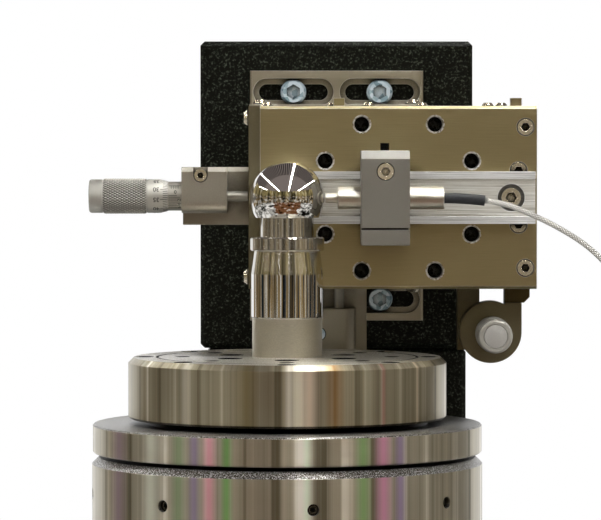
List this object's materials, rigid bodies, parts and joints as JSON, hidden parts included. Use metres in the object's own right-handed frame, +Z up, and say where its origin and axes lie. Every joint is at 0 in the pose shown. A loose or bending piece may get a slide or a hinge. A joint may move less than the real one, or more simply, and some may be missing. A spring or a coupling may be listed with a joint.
{
  "type": "nanopositioning stage",
  "caption": "Micrometer-driven linear stages on black granite hold a displacement probe against a polished ball on a drilled platter of a turning steel spindle.",
  "frame": {"origin": "on the spindle axis, at the underside of the granite slab", "axes": "+Z up along the spindle axis, +X along the probe away from the ball, +Y to the granite block"},
  "size_m": [0.2602, 0.314, 0.3225],
  "materials": {
    "black_granite": "lapped, fine flecks",
    "turned_steel": "turned",
    "mirror_steel": "polished",
    "ground_steel": "ground",
    "matt_alloy": "bead blasted",
    "screw_steel": "oiled",
    "zinc_steel": "zinc plated",
    "satin_chrome": "satin",
    "rail_steel": "ground",
    "cage_brass": "rolled",
    "probe_steel": "brushed",
    "boot_rubber": "moulded",
    "cable_braid": "braided"
  },
  "bodies": {
    "frame": {"granite_base": "black_granite", "granite_column": "black_granite", "granite_block": "black_granite", "granite_inserts": "zinc_steel", "base_bolts": "zinc_steel", "spindle_housing": "turned_steel", "housing_set_screws": "screw_steel", "z_base": "ground_steel", "z_base_bolts": "zinc_steel", "z_base_rails": "rail_steel", "z_mic_bracket": "matt_alloy", "z_mic_sleeve": "satin_chrome", "cable_coil": "cable_braid", "cable_connector": "zinc_steel"},
    "rotor": {"rotor_shaft": "turned_steel", "thrust_plate": "turned_steel", "flange_ring": "turned_steel", "platter": "turned_steel", "platter_bolts": "screw_steel", "post": "turned_steel", "ball_target": "mirror_steel"},
    "z_carriage": {"z_carriage": "ground_steel", "z_carriage_rails": "rail_steel", "z_end_plates": "ground_steel", "y_bracket": "matt_alloy", "bracket_screws": "screw_steel", "y_base": "ground_steel", "y_base_rails": "rail_steel", "y_lug": "matt_alloy"},
    "z_cage": {"z_rollers": "cage_brass"},
    "z_screw": {"z_spindle": "satin_chrome"},
    "z_thimble": {"z_thimble": "satin_chrome"},
    "y_carriage": {"y_carriage": "ground_steel", "y_carriage_rails": "rail_steel", "front_plate": "matt_alloy", "adapter_screws": "screw_steel", "y_mic_bracket": "matt_alloy", "y_mic_sleeve": "satin_chrome", "x_base": "ground_steel", "x_base_rails": "rail_steel", "x_mic_bracket": "matt_alloy", "x_mic_sleeve": "satin_chrome"},
    "y_cage": {"y_rollers": "cage_brass"},
    "y_screw": {"y_spindle": "satin_chrome"},
    "y_thimble": {"y_thimble": "satin_chrome"},
    "x_carriage": {"x_carriage": "ground_steel", "x_carriage_rails": "rail_steel", "x_end_plate": "ground_steel", "mount_bar": "ground_steel", "travel_stops": "ground_steel", "carriage_screws": "screw_steel", "probe_clamp": "matt_alloy", "clamp_cap": "matt_alloy", "clamp_screws": "screw_steel", "probe": "probe_steel", "cable_boot": "boot_rubber", "probe_cable": "cable_braid"},
    "x_cage": {"x_rollers": "cage_brass"},
    "x_screw": {"x_spindle": "satin_chrome"},
    "x_thimble": {"x_thimble": "satin_chrome"}
  },
  "joints": [
    {"name": "spindle_turn", "type": "hinge", "parent": "frame", "child": "rotor", "pos_m": [0, 0, 0], "axis": [0, 0, 1], "continuous": true},
    {"name": "z_screw_feed", "type": "slide", "parent": "frame", "child": "z_screw", "axis": [0, 0, 1], "range_m": [-0.0076, 0.0056]},
    {"name": "z_thimble_turn", "type": "hinge", "parent": "z_screw", "child": "z_thimble", "pos_m": [0.0235, 0.104, 0.16], "axis": [0, 0, 1], "range_deg": [-5436, 3996]},
    {"name": "z_travel", "type": "slide", "parent": "frame", "child": "z_carriage", "axis": [0, 0, 1], "range_m": [-0.0075, 0.0055], "deforming": ["probe_cable"]},
    {"name": "z_cage_travel", "type": "slide", "parent": "frame", "child": "z_cage", "axis": [0, 0, 1], "range_m": [-0.0038, 0.0028]},
    {"name": "y_travel", "type": "slide", "parent": "z_carriage", "child": "y_carriage", "axis": [0, 1, 0], "range_m": [-0.0055, 0.0075], "deforming": ["probe_cable"]},
    {"name": "y_cage_travel", "type": "slide", "parent": "z_carriage", "child": "y_cage", "axis": [0, 1, 0], "range_m": [-0.0028, 0.0038]},
    {"name": "y_screw_feed", "type": "slide", "parent": "y_carriage", "child": "y_screw", "axis": [0, 1, 0], "range_m": [-0.0076, 0.0056]},
    {"name": "y_thimble_turn", "type": "hinge", "parent": "y_screw", "child": "y_thimble", "pos_m": [0.0905, 0.03, 0.1905], "axis": [0, 1, 0], "range_deg": [-5436, 3996]},
    {"name": "x_travel", "type": "slide", "parent": "y_carriage", "child": "x_carriage", "axis": [1, 0, 0], "range_m": [-0.0002, 0.0055], "deforming": ["probe_cable"]},
    {"name": "x_cage_travel", "type": "slide", "parent": "y_carriage", "child": "x_cage", "axis": [1, 0, 0], "range_m": [-0.00015, 0.0028]},
    {"name": "x_screw_feed", "type": "slide", "parent": "y_carriage", "child": "x_screw", "axis": [1, 0, 0], "range_m": [-0.0003, 0.0056]},
    {"name": "x_thimble_turn", "type": "hinge", "parent": "x_screw", "child": "x_thimble", "pos_m": [-0.07, 0.036, 0.2513], "axis": [1, 0, 0], "range_deg": [-180, 3996]}
  ],
  "couplings": [
    {"joint": "x_thimble_turn", "follows": "x_travel", "rad_per_m": 12566},
    {"joint": "x_cage_travel", "follows": "x_travel", "ratio": 0.5},
    {"joint": "x_screw_feed", "follows": "x_travel", "ratio": 1},
    {"joint": "y_thimble_turn", "follows": "y_travel", "rad_per_m": -12566},
    {"joint": "y_cage_travel", "follows": "y_travel", "ratio": 0.5},
    {"joint": "y_screw_feed", "follows": "y_travel", "ratio": -1},
    {"joint": "z_thimble_turn", "follows": "z_travel", "rad_per_m": 12566},
    {"joint": "z_cage_travel", "follows": "z_travel", "ratio": 0.5},
    {"joint": "z_screw_feed", "follows": "z_travel", "ratio": 1}
  ]
}
